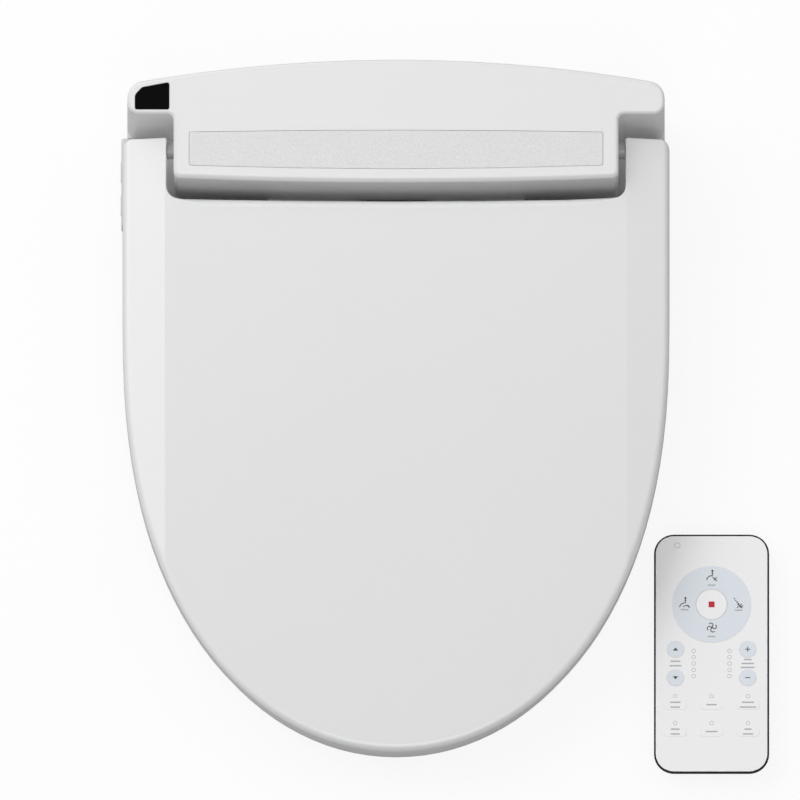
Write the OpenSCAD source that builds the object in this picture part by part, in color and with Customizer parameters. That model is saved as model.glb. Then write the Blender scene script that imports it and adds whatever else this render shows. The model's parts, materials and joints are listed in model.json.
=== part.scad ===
// Electric bidet seat for a round bowl, with its wireless remote control.
// The origin lies midway between the two bowl bolts, on the top of the bowl's rim.
// +X runs across the seat, +Y runs back towards the wall and +Z points up.

/* [Housing] */
// Width over the two wings
body_w = 378; // [374:1:381]
// How far the bowed back stands behind the bolts
body_rear_y = 55; // [53:1:58]
// Radius of the bowed back in plan
rear_arc_r = 1100; // [1000:50:1400]
// How far the front lip stands in front of the bolts
lip_reach = 28; // [26:0.5:28]
// Radius of the bowed front lip in plan
lip_arc_r = 4000; // [3500:100:6000]
// Height of the top cover at the front lip
lip_z = 97; // [95:0.5:98]
// Height of the top cover at the back
rear_z = 120.5; // [118:0.5:121]
// Wall of the housing's mouldings
case_wall = 2.5; // [2:0.1:3]
// Height of the joint between base and top cover
split_z = 36; // [34:1:38]
// Half of the width between the two notches
cheek_x = 156.5; // [155:0.25:157.5]
// How far behind the bolts the notches' back walls stand
notch_y = 18; // [17.5:0.25:20]
// Rounding of the wings' rear corners
corner_r = 12; // [8:1:14]
// Clearance between mouldings that fit into each other
fit_gap = 0.3; // [0.2:0.05:0.4]

/* [Trim strip and window] */
// Length of the trim strip
trim_w = 291; // [270:1:295]
// Depth of the trim strip from front to back
trim_d = 27; // [22:0.5:29]
// Gap between the front lip and the trim strip
trim_setback = 9; // [8:0.5:10]
// Thickness of the trim strip
trim_t = 1.2; // [1:0.1:1.4]
// Width of the receiver window
window_w = 24; // [18:0.5:24]
// Depth of the receiver window
window_d = 19; // [14:0.5:19]
// Thickness of the receiver window
window_t = 1.5; // [1.2:0.1:1.7]
// Gap between the wing's side and the receiver window
window_setback = 5.4; // [5:0.1:6]

/* [Mounting] */
// Distance between the two bowl bolts
bolt_span = 140; // [138:1:155]
// Diameter of the bolt holes
bolt_hole_d = 8.4; // [6.5:0.1:10]
// Width of the mounting plate
plate_w = 206; // [204:1:208]
// Depth of the mounting plate
plate_d = 54; // [50:1:56]
// Thickness of the mounting plate
plate_t = 5.5; // [5:0.1:6]
// Room for the bolt heads over the rim of the bowl
bolt_head_room = 14; // [12:0.5:14]
// Height of the base over the rim of the bowl
base_lift = 1.5; // [1:0.1:2]

/* [Hinge] */
// Height of the hinge axis over the rim of the bowl
hinge_z = 75; // [74.6:0.1:75.2]
// Diameter of the hinge shafts
shaft_d = 8; // [7:0.1:8.4]
// Diameter of the shafts' bosses, seen in the slots
boss_d = 12.6; // [11:0.2:13]
// Radial clearance of the turning shafts
run_gap = 0.05; // [0.03:0.01:0.08]
// Thickness of the seat's ears
ear_t = 10; // [8:0.5:10.5]
// Radius of the seat's ears
ear_r = 6.8; // [6.4:0.1:6.9]
// Diameter of the soft-close dampers
damper_d = 18; // [16:0.5:19]

/* [Lid] */
// Width of the lid
lid_w = 384.8; // [383:0.2:385.6]
// How far the tip of the lid reaches in front of the bolts
lid_reach = 428; // [422:1:440]
// Where the lid's straight sides end and its round front starts
lid_straight = 120; // [110:2:130]
// Height of the lid's top at the hinge
lid_hinge_z = 87.5; // [87.2:0.1:87.8]
// Height of the lid's top at the tip
lid_tip_z = 47; // [46.5:0.1:48]
// Distance between the two fold lines
fold_w = 325; // [322:1:330]
// How steeply the lid's sides fall away outside the fold lines
fold_angle = 12; // [11:0.25:13]
// Wall of the lid
lid_wall = 2.8; // [2.5:0.1:2.9]
// Width of each slot between housing and lid
slot_w = 5; // [4.5:0.1:5.4]
// How far the lid's rear edge stands in front of the bolts
lid_edge = 38; // [38:0.25:39]
// How far the lid's arms reach behind the bolts
arm_reach = 6.2; // [5.8:0.1:6.6]

/* [Seat] */
// How much narrower than the lid the seat is on each side
seat_inset = 5.8; // [5.4:0.2:6.6]
// How far the seat's tip stands back from the lid's tip
seat_tip_inset = 3.8; // [3.4:0.2:5.8]
// Gap between the lid's rim and the top of the seat
rim_gap = 3; // [2.5:0.5:3.5]
// Thickness of the seat at its tip, with the bumpers
seat_tip_z = 33; // [32:0.5:34]
// Height of the seat's top where its rear edge lies
seat_rear_z = 54; // [53:0.5:55]
// Height of the bumpers under the seat
bumper_h = 10; // [9:0.5:11]
// Width of the seat's opening
opening_w = 208; // [200:2:220]
// Length of the seat's opening
opening_l = 244; // [230:2:250]
// Distance from the bolts to the rear of the opening
opening_rear = 106; // [104:1:112]
// Wall of the seat's shells
seat_wall = 3; // [2.5:0.1:3.2]

/* [Nozzles] */
// Slope of the nozzles
nozzle_slope = 35; // [34:0.5:36]
// Diameter of a nozzle
nozzle_d = 10; // [9:0.2:10.2]
// Length of a nozzle
nozzle_l = 112; // [108:1:113]
// Distance between the two nozzles
nozzle_pitch = 18; // [17:0.5:19]
// Pitch radius of the pinions
pinion_r = 5; // [5:0.5:5]
// Teeth of a pinion
pinion_teeth = 10; // [10:1:10]

/* [Dryer] */
// Outer diameter of the blower housing
blower_d = 52; // [48:1:53]
// Width of the blower housing
blower_w = 36; // [32:1:38]
// Blades of the impeller
blades = 18; // [14:1:22]

/* [Remote control] */
// Width of the remote control
remote_w = 81; // [79:0.5:84]
// Length of the remote control
remote_l = 173; // [171:1:178]
// Thickness of the remote control
remote_t = 17; // [16.8:0.1:18]
// Rounding of its corners
remote_r = 14; // [10:0.5:15]
// Width of the dark edge round its face
remote_edge = 1.1; // [1:0.1:1.8]
// Diameter of the ring of keys
ring_d = 55.4; // [52:0.2:57]
// Diameter of the stop key inside the ring
stop_d = 21.6; // [19:0.2:24]
// Diameter of the four round keys
round_key_d = 12; // [10:0.2:13]
// Width of the six pads
pad_w = 16; // [13:0.5:18]
// Length of the six pads
pad_l = 7; // [6:0.5:8]
// Gap round each key
key_gap = 0.1; // [0.1:0.05:0.3]

/* [Hidden] */
$fn = 48;
big = 1200;

// ---- Shared outlines and planes ----

function xy(p) = [p[0], p[1]];
function unit(v) = v / norm(v);

// One corner [x, y, radius] between its neighbours, as the points of its arc
function fillet(a, b, c, n) =
    b[2] == 0 ? [xy(b)] :
    let (
        u = unit(xy(a) - xy(b)),
        v = unit(xy(c) - xy(b)),
        h = acos(u * v) / 2,
        m = xy(b) + unit(u + v) * b[2] / sin(h),
        p = xy(b) + u * b[2] / tan(h) - m,
        q = xy(b) + v * b[2] / tan(h) - m,
        start = atan2(p[1], p[0]),
        raw = atan2(q[1], q[0]) - start,
        turn = raw > 180 ? raw - 360 : raw < -180 ? raw + 360 : raw
    )
    [for (i = [0:n]) m + b[2] * [cos(start + turn * i / n), sin(start + turn * i / n)]];

// A closed outline from corners [x, y, radius]
function rounded(pts, n = 5) =
    [for (i = [0:len(pts) - 1])
        each fillet(pts[(i + len(pts) - 1) % len(pts)], pts[i], pts[(i + 1) % len(pts)], n)];

// The right half of an outline followed by its mirror image
function both_halves(right) =
    concat(right, [for (i = [len(right) - 1:-1:0]) if (right[i][0] != 0) [-right[i][0], right[i][1], right[i][2]]]);

module round_rect(w, l, r) {
    polygon(rounded([[w / 2, -l / 2, r], [w / 2, l / 2, r], [-w / 2, l / 2, r], [-w / 2, -l / 2, r]], 8));
}

// Everything below a plane that passes z at y = 0 and rises by angle towards +Y
module below(z, angle) {
    translate([0, 0, z])
        rotate([angle, 0, 0])
            translate([-big / 2, -big / 2, -big])
                cube([big, big, big]);
}

// A profile drawn in Y and Z, extruded along X from x0 to x1
module along_x(x0, x1) {
    translate([x0, 0, 0])
        rotate([90, 0, 90])
            linear_extrude(x1 - x0)
                children();
}

// A cylinder along X on the hinge axis, from x0 to x1
module hinge_cylinder(d, x0, x1) {
    along_x(x0, x1)
        translate([0, hinge_z])
            circle(d = d);
}

module left_and_right() {
    children();
    mirror([1, 0, 0])
        children();
}

// ---- Housing ----

body_half = body_w / 2;
lip_y = -lip_reach;
top_rise = (rear_z - lip_z) / (body_rear_y - lip_y);
top_angle = atan(top_rise);
top_at_bolts = lip_z - lip_y * top_rise;
floor_z = base_lift + case_wall;
plate_front = -22;
bay_w = plate_w + 8;
bay_front = plate_front - 1;
bay_floor = bolt_head_room + case_wall;
flange_z = 3;
flange_in = 4;
rear_steps = 6;
shroud_half = 90;
shroud_front = 56;
shroud_top = 41;
shroud = [[lip_y + case_wall, base_lift], [6 - shroud_front, base_lift], [-shroud_front, 8],
    [-shroud_front, 20], [lip_y, shroud_top], [lip_y + case_wall, shroud_top]];
shroud_inside = [[lip_y, floor_z], [-49, floor_z], [case_wall - shroud_front, 9],
    [case_wall - shroud_front, 18.5], [lip_y, 37.5]];
screw_x = 142;
screw_ys = [-17, 32];
screw_d = 3.4;
screw_head_z = 24;

function rear_y(x) = body_rear_y - x * x / (2 * rear_arc_r);
function front_y(x) = lip_y + x * x / (2 * lip_arc_r);

// Outline of the housing moved inwards by d, with or without its two notches
function body_points(d, notched) =
    let (
        half = body_half - d,
        front_half = (notched ? cheek_x : body_half) - d,
        r = corner_r - d
    )
    rounded(both_halves(concat(
        [for (i = [0:3]) [front_half * i / 4, front_y(front_half * i / 4) + d, 0]],
        [[front_half, front_y(front_half) + d, notched ? 4.5 - d / 2 : 6]],
        notched ? [[front_half, notch_y + d, 4 + d], [half, notch_y + d, 7.5 - d]] : [],
        [[half, rear_y(half) - d, r]],
        [for (i = [rear_steps:-1:0]) [(half - 26) * i / rear_steps, rear_y((half - 26) * i / rear_steps) - d, 0]])));

module on_top_cover() {
    translate([0, lip_y, lip_z])
        rotate([top_angle, 0, 0])
            children();
}

trim_mid = trim_setback + trim_d / 2;
module trim_outline(gap) {
    translate([0, trim_mid])
        polygon(rounded(both_halves([
            [0, -trim_d / 2 - gap, 0],
            [trim_w / 4, -trim_d / 2 - gap + 0.7, 0],
            [trim_w / 2 + gap, -trim_d / 2 - gap + 2.5, 1.5],
            [trim_w / 2 + gap, trim_d / 2 + gap - 1.3, 1.5],
            [trim_w / 4, trim_d / 2 + gap - 0.3, 0],
            [0, trim_d / 2 + gap, 0]])));
}

window_x = -body_half + window_setback + window_w / 2;
window_y = (notch_y + 12 - lip_y) / cos(top_angle);
module window_outline(gap) {
    translate([window_x, window_y]) {
        w = window_w / 2 + gap;
        l = window_d / 2 + gap;
        polygon(rounded([[w, -l, 1.5], [w, l, 1.5], [5 - w, l - 3.6, 4], [-w, l - 9, 4], [-w, -l, 1.5]]));
    }
}

module screw_places() {
    for (side = [-1, 1], y = screw_ys)
        translate([side * screw_x, y, 0])
            children();
}

pod_out = 4.2;
pod_reach = body_w / 2 + pod_out;
pod_inner = 182;
pod_front = -41.5;
pod_rear = 18.5;

module top_case() color("whitesmoke") {
    difference() {
        union() {
            difference() {
                intersection() {
                    translate([0, 0, split_z])
                        linear_extrude(rear_z)
                            polygon(body_points(0, true));
                    below(top_at_bolts, top_angle);
                }
                intersection() {
                    translate([0, 0, split_z - 1])
                        linear_extrude(rear_z)
                            polygon(body_points(case_wall, true));
                    below(top_at_bolts - case_wall, top_angle);
                }
            }
            // Screw bosses hang from the cover down to the joint
            intersection() {
                screw_places()
                    translate([0, 0, split_z])
                        cylinder(d = 9, h = rear_z);
                below(top_at_bolts - case_wall / 2, top_angle);
            }
        }
        screw_places()
            translate([0, 0, split_z - 1])
                cylinder(d = screw_d + 0.1, h = 16);
        on_top_cover() {
            translate([0, 0, -trim_t])
                linear_extrude(big / 100)
                    trim_outline(fit_gap);
            translate([0, 0, -window_t])
                linear_extrude(big / 100)
                    window_outline(fit_gap);
            translate([0, 0, -2 * case_wall])
                linear_extrude(big / 100)
                    window_outline(-2);
        }
        left_and_right()
            hinge_cylinder(boss_d + 2 * fit_gap, cheek_x - 2 * case_wall, cheek_x + 1);
        along_x(-shroud_half - fit_gap, shroud_half + fit_gap)
            polygon([[lip_y - 1, split_z - 1], [lip_y + case_wall + fit_gap, split_z - 1],
                    [lip_y + case_wall + fit_gap, shroud_top + fit_gap], [lip_y - 1, shroud_top + fit_gap]]);
    }
}

module trim_plate() color("silver") {
    on_top_cover()
        translate([0, 0, -trim_t])
            linear_extrude(trim_t)
                trim_outline(0);
}

module receiver_window() color("black") {
    on_top_cover()
        translate([0, 0, -window_t])
            linear_extrude(window_t)
                window_outline(0);
}

nozzle_mouth_half = nozzle_pitch / 2 + nozzle_d / 2 + 2.5;
flap_x = 67;
flap_w = 28;
flap_h = 11;
flap_z = 19;
flap_pin_d = 1.8;
flap_y = -shroud_front - 1.6;
duct_h = 13;
inlet_x = -164;
inlet_y = 24;
inlet_room = 15;
inlet_top = 25.5;
inlet_tube_d = 12;
gland_x = 165;
gland_z = 22;
gland_y = rear_y(gland_x) - 2.1;
gland_flange_d = 18;
gland_d = 13;
release_y = 4;
release_z = 20;
release_w = 16;
release_h = 10;

module pod_box(grow) {
    translate([-pod_reach - 1, pod_front - grow, 0])
        cube([pod_reach + 1 - pod_inner + grow, pod_rear - pod_front + 2 * grow, split_z + 1]);
}

// What stands up inside the hollow of the base
module base_inner_walls() {
    translate([-bay_w / 2 - case_wall, bay_front - case_wall, 0])
        cube([bay_w + 2 * case_wall, big, bay_floor]);
    translate([inlet_x - inlet_room - case_wall, inlet_y - inlet_room - case_wall, 0])
        cube([2 * (inlet_room + case_wall), big, inlet_top + case_wall]);
    pod_box(case_wall);
    for (side = [-1, 1])
        translate([side * (cheek_x + 25) - 25, lip_y - 10, split_z - case_wall])
            cube([50, notch_y - lip_y + 10 + case_wall, 10]);
    screw_places()
        cylinder(d = 12, h = split_z);
    translate([body_half - 16, release_y - release_w / 2 - 4, 0])
        cube([16, release_w + 8, release_z + release_h / 2 + 3]);
    translate([gland_x, gland_y - 4, gland_z])
        rotate([-90, 0, 0])
            cylinder(d = gland_flange_d + 5, h = 20);
}

module base_case() color("white") {
    difference() {
        union() {
            difference() {
                translate([0, 0, base_lift])
                    linear_extrude(split_z - base_lift)
                        polygon(body_points(0, false));
                difference() {
                    translate([0, 0, floor_z])
                        linear_extrude(split_z)
                            polygon(body_points(case_wall, false));
                    base_inner_walls();
                }
            }
            along_x(-shroud_half, shroud_half)
                polygon(shroud);
            // Ears of the dryer flap
            for (side = [-1, 1])
                translate([flap_x + side * (flap_w / 2 + 1.7) - 1.25, flap_y - 2, flap_z - 0.5])
                    cube([2.5, 4, 4]);
        }
        along_x(case_wall - shroud_half, shroud_half - case_wall)
            polygon(shroud_inside);
        // Ways through the front wall for the nozzles and the drying air
        translate([-nozzle_mouth_half - 8, lip_y - 1, bay_floor + fit_gap])
            cube([2 * nozzle_mouth_half + 16, case_wall + 2, split_z]);
        translate([-cradle_half - fit_gap, lip_y - 1, bay_floor - 1])
            cube([2 * (cradle_half + fit_gap), case_wall + 1, split_z]);
        translate([flap_x - flap_w / 2, lip_y - 1, bay_floor])
            cube([flap_w, case_wall + 2, duct_h]);
        // Mouths of the nozzles and of the dryer
        translate([-nozzle_mouth_half, -shroud_front - 1, 0])
            cube([2 * nozzle_mouth_half, 14, 17]);
        translate([flap_x - flap_w / 2 + 1, -shroud_front - 1, flap_z - flap_h + 1])
            cube([flap_w - 2, case_wall + 2, flap_h - 2]);
        along_x(flap_x - flap_w, flap_x + flap_w)
            translate([flap_y, flap_z + 1.5])
                circle(d = flap_pin_d + 2 * run_gap);
        // Bay over the mounting plate, whose lips reach under the plate's flanges
        translate([-bay_w / 2, bay_front, flange_z - 0.2])
            cube([bay_w, big, bolt_head_room - flange_z + 0.2]);
        translate([-plate_w / 2 + flange_in - 0.5, bay_front, 0])
            cube([plate_w - 2 * flange_in + 1, big, flange_z]);
        translate([inlet_x - inlet_room, inlet_y - inlet_room, 0])
            cube([2 * inlet_room, 2 * inlet_room, inlet_top]);
        translate([inlet_x, inlet_y, 0])
            cylinder(d = inlet_tube_d + 2 * fit_gap, h = split_z);
        pod_box(0);
        screw_places() {
            translate([0, 0, -1])
                cylinder(d = 7.6, h = screw_head_z + 1);
            translate([0, 0, -1])
                cylinder(d = screw_d + 0.4, h = split_z + 2);
        }
        translate([body_half - 20, release_y - release_w / 2 - fit_gap, release_z - release_h / 2 - fit_gap])
            cube([30, release_w + 2 * fit_gap, release_h + 2 * fit_gap]);
        translate([gland_x, gland_y, gland_z])
            rotate([-90, 0, 0])
                cylinder(d = gland_flange_d + 2 * fit_gap, h = 20);
        translate([gland_x, gland_y - 6, gland_z])
            rotate([-90, 0, 0])
                cylinder(d = gland_d + 2 * fit_gap, h = 20);
    }
}

foot_d = 12;
foot_x = 124;
foot_ys = [-12, 32];
module base_feet() color("dimgray") {
    for (x = [-foot_x, foot_x], y = foot_ys)
        translate([x, y, 0])
            cylinder(d = foot_d, h = base_lift);
}

screw_head_d = 7;
screw_head_h = 2.4;
screw_cross = 4.4;
module case_screws() color("silver") {
    screw_places() {
        translate([0, 0, screw_head_z - screw_head_h])
            difference() {
                cylinder(d = screw_head_d, h = screw_head_h);
                for (turn = [0, 90])
                    rotate([0, 0, turn])
                        translate([-screw_cross / 2, -0.5, -1])
                            cube([screw_cross, 1, 2]);
            }
        translate([0, 0, screw_head_z - 0.1])
            cylinder(d = screw_d, h = split_z + 13 - screw_head_z);
    }
}

bushing_d = 18;
bushing_flange_d = 26;
bushing_travel = 5;

module bolt_slot(d) {
    for (end = [-1, 1])
        translate([0, end * bushing_travel])
            circle(d = d);
    square([d, 2 * bushing_travel], center = true);
}

module mounting_plate() color("gainsboro") {
    difference() {
        translate([0, plate_front + plate_d / 2])
            linear_extrude(plate_t)
                round_rect(plate_w, plate_d, 6);
        for (side = [-1, 1]) {
            translate([side * bolt_span / 2, 0, -1])
                linear_extrude(plate_t + 2)
                    bolt_slot(bushing_d + 2 * fit_gap);
            translate([side * bolt_span / 2, 0, flange_z])
                linear_extrude(plate_t)
                    bolt_slot(bushing_flange_d + 2 * fit_gap);
            translate([side * (plate_w / 2 - flange_in / 2) - flange_in / 2, -big / 2, -1])
                cube([flange_in, big, flange_z + 1]);
        }
    }
}

module bolt_bushings() color("dimgray") {
    for (side = [-1, 1])
        translate([side * bolt_span / 2, 0, 0])
            difference() {
                union() {
                    cylinder(d = bushing_d, h = plate_t - 0.2);
                    translate([0, 0, flange_z])
                        cylinder(d = bushing_flange_d, h = plate_t - flange_z - 0.2);
                }
                translate([0, 0, -1])
                    cylinder(d = bolt_hole_d, h = plate_t + 2);
            }
}

// ---- Side panel and release ----

side_buttons_y = [-26, -2];
side_button_z = 19;
side_button_w = 14;
side_button_h = 9;
panel_wall = 2;

module side_button_shape(grow) {
    rotate([90, 0, -90])
        linear_extrude(6)
            round_rect(side_button_w + 2 * grow, side_button_h + 2 * grow, 3);
}

module side_panel() color("white") {
    difference() {
        translate([-pod_reach, pod_front + fit_gap, base_lift])
            cube([pod_reach - pod_inner - fit_gap, pod_rear - pod_front - 2 * fit_gap, split_z - base_lift]);
        translate([-pod_reach + panel_wall, pod_front + fit_gap + panel_wall, base_lift + panel_wall])
            cube([pod_reach, pod_rear - pod_front - 2 * (fit_gap + panel_wall),
                split_z - base_lift - 2 * panel_wall]);
        for (y = side_buttons_y)
            translate([-pod_reach + 3, y, side_button_z])
                side_button_shape(fit_gap);
    }
}

module side_button(y) color("gainsboro") {
    translate([-pod_reach + 5.5, y, side_button_z])
        side_button_shape(0);
    // Flange that holds the button behind the panel's wall
    translate([-pod_reach + panel_wall + fit_gap, y - side_button_w / 2 - 1, side_button_z - side_button_h / 2 - 1])
        cube([1.2, side_button_w + 2, side_button_h + 2]);
}

module side_button_front() side_button(side_buttons_y[0]);
module side_button_rear() side_button(side_buttons_y[1]);

module release_button() color("lightgray") {
    translate([body_half - 14, release_y - release_w / 2, release_z - release_h / 2])
        cube([15, release_w, release_h]);
}

// ---- Hinge ----

arm_in = cheek_x + slot_w;
arm_wall = 3.5;
ear_x = arm_in + arm_wall + 0.4;
shaft_end = ear_x + ear_t + 1;
damper_x = 122;
damper_flange = 4;
damper_out = cheek_x - case_wall;

module hinge_shaft() {
    hinge_cylinder(shaft_d, damper_x + 2.5, shaft_end);
    hinge_cylinder(boss_d, damper_out + fit_gap, arm_in - fit_gap);
}

module lid_shaft() color("gainsboro")
    mirror([1, 0, 0])
        hinge_shaft();

module seat_shaft() color("gainsboro")
    hinge_shaft();

module hinge_dampers() color("dimgray") {
    left_and_right()
        difference() {
            union() {
                hinge_cylinder(damper_d, damper_x, damper_out);
                translate([damper_out - damper_flange, -12, hinge_z - 12])
                    cube([damper_flange, 24, 24]);
            }
            hinge_cylinder(shaft_d + 2 * run_gap, damper_x + 2, damper_out + 1);
        }
}

// ---- Lid ----

lid_half = lid_w / 2;
fold_x = fold_w / 2;
lid_angle = atan((lid_hinge_z - lid_tip_z) / lid_reach);
seat_edge = 42;
seat_half = lid_half - seat_inset;
seat_reach = lid_reach - seat_tip_inset;
seat_rise = (seat_rear_z - seat_tip_z) / (seat_reach - seat_edge);
seat_angle = atan(seat_rise);
seat_z0 = seat_rear_z + seat_edge * seat_rise;
bow_x_power = 2 / 2.02;
bow_y_power = 2 / 2.42;
bow_steps = 30;

// Round front of the lid or the seat, from its straight side to its tip
function bow(half, reach) =
    [for (i = [0:bow_steps]) let (a = 90 * i / bow_steps)
        [half * pow(cos(a), bow_x_power), -lid_straight - (reach - lid_straight) * pow(sin(a), bow_y_power), 0]];

edge_bow = 2;
edge_steps = 5;
slot_end_r = 8;

// The lid's bowed rear edge, up to the ends of its two slots
function rear_edge(d) =
    [for (i = [0:edge_steps]) let (x = (arm_in - 1.5 * slot_end_r) * i / edge_steps)
        [x, -lid_edge - d + edge_bow * pow(x / arm_in, 2), 0]];

// Outline of the lid with its two arms, moved inwards by d, and by e at the arms' inner sides
function lid_points(d, e) =
    rounded(both_halves(concat(
        rear_edge(d),
        [[arm_in + e, -lid_edge - d + edge_bow, slot_end_r + d]],
        [[arm_in + e, arm_reach - d, d > 0 ? 1 : 1.5]],
        [[lid_half - d, arm_reach - d, 6.5 - d]],
        bow(lid_half - d, lid_reach - d))));

// Everything under the lid's sloping side facet on the left (-1) or the right (1)
module below_facet(side, drop) {
    translate([0, 0, lid_hinge_z - drop])
        rotate([lid_angle, 0, 0])
            translate([side * fold_x, 0, 0])
                rotate([0, side * fold_angle, 0])
                    translate([-big / 2, -big / 2, -big])
                        cube([big, big, big]);
}

module below_lid(drop) {
    intersection() {
        below(lid_hinge_z - drop, lid_angle);
        below_facet(-1, drop);
        below_facet(1, drop);
    }
}

module lid_shell() color("white") {
    difference() {
        intersection() {
            linear_extrude(2 * lid_hinge_z)
                polygon(lid_points(0, 0));
            below_lid(0);
        }
        intersection() {
            linear_extrude(2 * lid_hinge_z)
                polygon(lid_points(lid_wall, arm_wall));
            below_lid(lid_wall);
        }
        below(seat_z0 + rim_gap, seat_angle);
        // Windows in the arms' rear walls, so that the lid swings past the seat's ears
        left_and_right()
            along_x(arm_in + arm_wall, ear_x + ear_t + 1)
                translate([arm_reach - lid_wall - 1, 0])
                    square([lid_wall + 2, hinge_z + 6.4]);
        left_and_right()
            hinge_cylinder(shaft_d + 2 * run_gap, arm_in - 1, arm_in + arm_wall + 1);
    }
}

lid_bumper_places = [[-60, -385], [60, -385], [-148, -215], [148, -215]];
module lid_bumpers() color("gainsboro") {
    for (p = lid_bumper_places)
        difference() {
            intersection() {
                translate([p[0], p[1], 0])
                    cylinder(d = 13, h = 2 * lid_hinge_z);
                below_lid(lid_wall);
            }
            below(seat_z0 + fit_gap, seat_angle);
        }
}

// ---- Seat ----

seat_floor = 2.5;
opening_mid = -opening_rear - opening_l / 2;
opening_power = 2 / 2.3;
opening_steps = 60;
tunnel_half = 94;
tunnel_front = -73;
tunnel_top = 36;

function signed_power(v, p) = sign(v) * pow(abs(v), p);

function opening_points(d) =
    [for (i = [0:opening_steps - 1]) let (a = 360 * i / opening_steps)
        [(opening_w / 2 + d) * signed_power(cos(a), opening_power),
            opening_mid + (opening_l / 2 + d) * signed_power(sin(a), opening_power)]];

function seat_points(d) =
    rounded(both_halves(concat(
        [[0, -seat_edge - d, 0]],
        [[seat_half - d, -seat_edge - d, 16 - d]],
        bow(seat_half - d, seat_reach - d))));

// The seat's ring moved inwards by d, from z up to a plane that lies drop under its top
module seat_ring(d, z, drop) {
    intersection() {
        translate([0, 0, z])
            linear_extrude(seat_rear_z)
                difference() {
                    polygon(seat_points(d));
                    polygon(opening_points(d));
                }
        below(seat_z0 - drop, seat_angle);
    }
}

// Room under the rear of the seat for the nozzle shroud
module tunnel(grow) {
    along_x(-tunnel_half - grow, tunnel_half + grow)
        translate([tunnel_front - grow, 0])
            square([-tunnel_front, tunnel_top + grow]);
}

neck_root = [-75, seat_z0 - 75 * seat_rise - 1];
neck = [[-1, hinge_z + 6.5], [-28, 70], neck_root, [-75, 36], [-seat_edge, 36], [-26, 52], [-4, hinge_z - 6]];

module seat_top() color("white") {
    difference() {
        union() {
            difference() {
                seat_ring(0, bumper_h + seat_floor, 0);
                seat_ring(seat_wall, 0, seat_wall);
                tunnel(seat_floor);
            }
            left_and_right() {
                along_x(ear_x, ear_x + ear_t)
                    polygon(neck);
                hinge_cylinder(2 * ear_r, ear_x, ear_x + ear_t);
                // The neck widens where it joins the ring
                along_x(ear_x, seat_half - 4)
                    polygon([[-36, 45], [-36, 60], neck_root, [-75, 36], [-seat_edge, 36]]);
            }
        }
        left_and_right()
            hinge_cylinder(shaft_d + 2 * run_gap, ear_x - 1, ear_x + ear_t + 1);
    }
}

module seat_bottom() color("white") {
    difference() {
        union() {
            translate([0, 0, bumper_h])
                linear_extrude(seat_floor)
                    difference() {
                        polygon(seat_points(0));
                        polygon(opening_points(0));
                    }
            intersection() {
                tunnel(seat_floor);
                translate([0, 0, bumper_h])
                    linear_extrude(seat_rear_z)
                        polygon(seat_points(0));
            }
        }
        tunnel(0);
    }
}

heater_t = 0.8;
module seat_heater() color("darkorange") {
    difference() {
        intersection() {
            seat_ring(seat_wall + 4, 0, seat_wall);
            translate([-big / 2, -big, 0])
                cube([big, big - 80, big]);
        }
        below(seat_z0 - seat_wall - heater_t, seat_angle);
    }
}

seat_bumper_places = [[-62, -380], [62, -380], [-146, -190], [146, -190]];
module seat_bumpers() color("gainsboro") {
    for (p = seat_bumper_places)
        translate([p[0], p[1], 0])
            cylinder(d = 22, h = bumper_h);
}

// ---- Nozzles ----

tip_y = -45;
tip_z = 13;
cradle_half = nozzle_pitch / 2 + nozzle_d / 2 + 7;
cradle_low = -7.4;
cradle_high = 2;
guide_high = 9;
guide_from = 5;
guide_to = 30;
cradle_to = 110;
pinion_at = 42;
rack_w = 4;
rack_pitch_v = 6.6;
tooth_pitch = 2 * PI * pinion_r / pinion_teeth;
tooth_top = 0.8;
tooth_root = 1;
tooth_half = [0.95, 0.58, 0.28];
rack_first = -2;
rack_last = floor((nozzle_l - pinion_at) / tooth_pitch - 1);
pinion_w = 5;
pinion_shaft_d = 3;
motor_d = 15;
motor_l = 22;

// Frame of the nozzles: +Y runs back along them and +Z stands square on them
module nozzle_frame() {
    translate([0, tip_y, tip_z])
        rotate([nozzle_slope, 0, 0])
            children();
}

function rack_teeth() =
    [for (i = [rack_first:rack_last]) let (m = pinion_at + (i + 0.5) * tooth_pitch)
        each [[m - tooth_half[0], rack_pitch_v - tooth_root], [m - tooth_half[2], rack_pitch_v + tooth_top],
            [m + tooth_half[2], rack_pitch_v + tooth_top], [m + tooth_half[0], rack_pitch_v - tooth_root]]];

module nozzle(x) {
    nozzle_frame()
        translate([x, 0, 0]) {
            difference() {
                rotate([-90, 0, 0])
                    cylinder(d = nozzle_d, h = nozzle_l);
                // Spray hole near the tip
                translate([0, 7, -nozzle_d])
                    cylinder(d = 1.6, h = nozzle_d);
            }
            along_x(-rack_w / 2, rack_w / 2)
                polygon(concat(
                    [[nozzle_l, nozzle_d / 2 - 2], [pinion_at + (rack_first - 0.5) * tooth_pitch, nozzle_d / 2 - 2],
                        [pinion_at + (rack_first - 0.5) * tooth_pitch, rack_pitch_v - tooth_root]],
                    rack_teeth(),
                    [[nozzle_l, rack_pitch_v - tooth_root]]));
        }
}

module rear_nozzle() color("white") nozzle(-nozzle_pitch / 2);
module front_nozzle() color("white") nozzle(nozzle_pitch / 2);

function tooth_points(a) =
    [for (p = [[pinion_r - tooth_root, -tooth_half[0]], [pinion_r + tooth_top, -tooth_half[2]],
        [pinion_r + tooth_top, tooth_half[2]], [pinion_r - tooth_root, tooth_half[0]]])
        [p[0] * cos(a) - p[1] * sin(a), p[0] * sin(a) + p[1] * cos(a)]];

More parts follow.
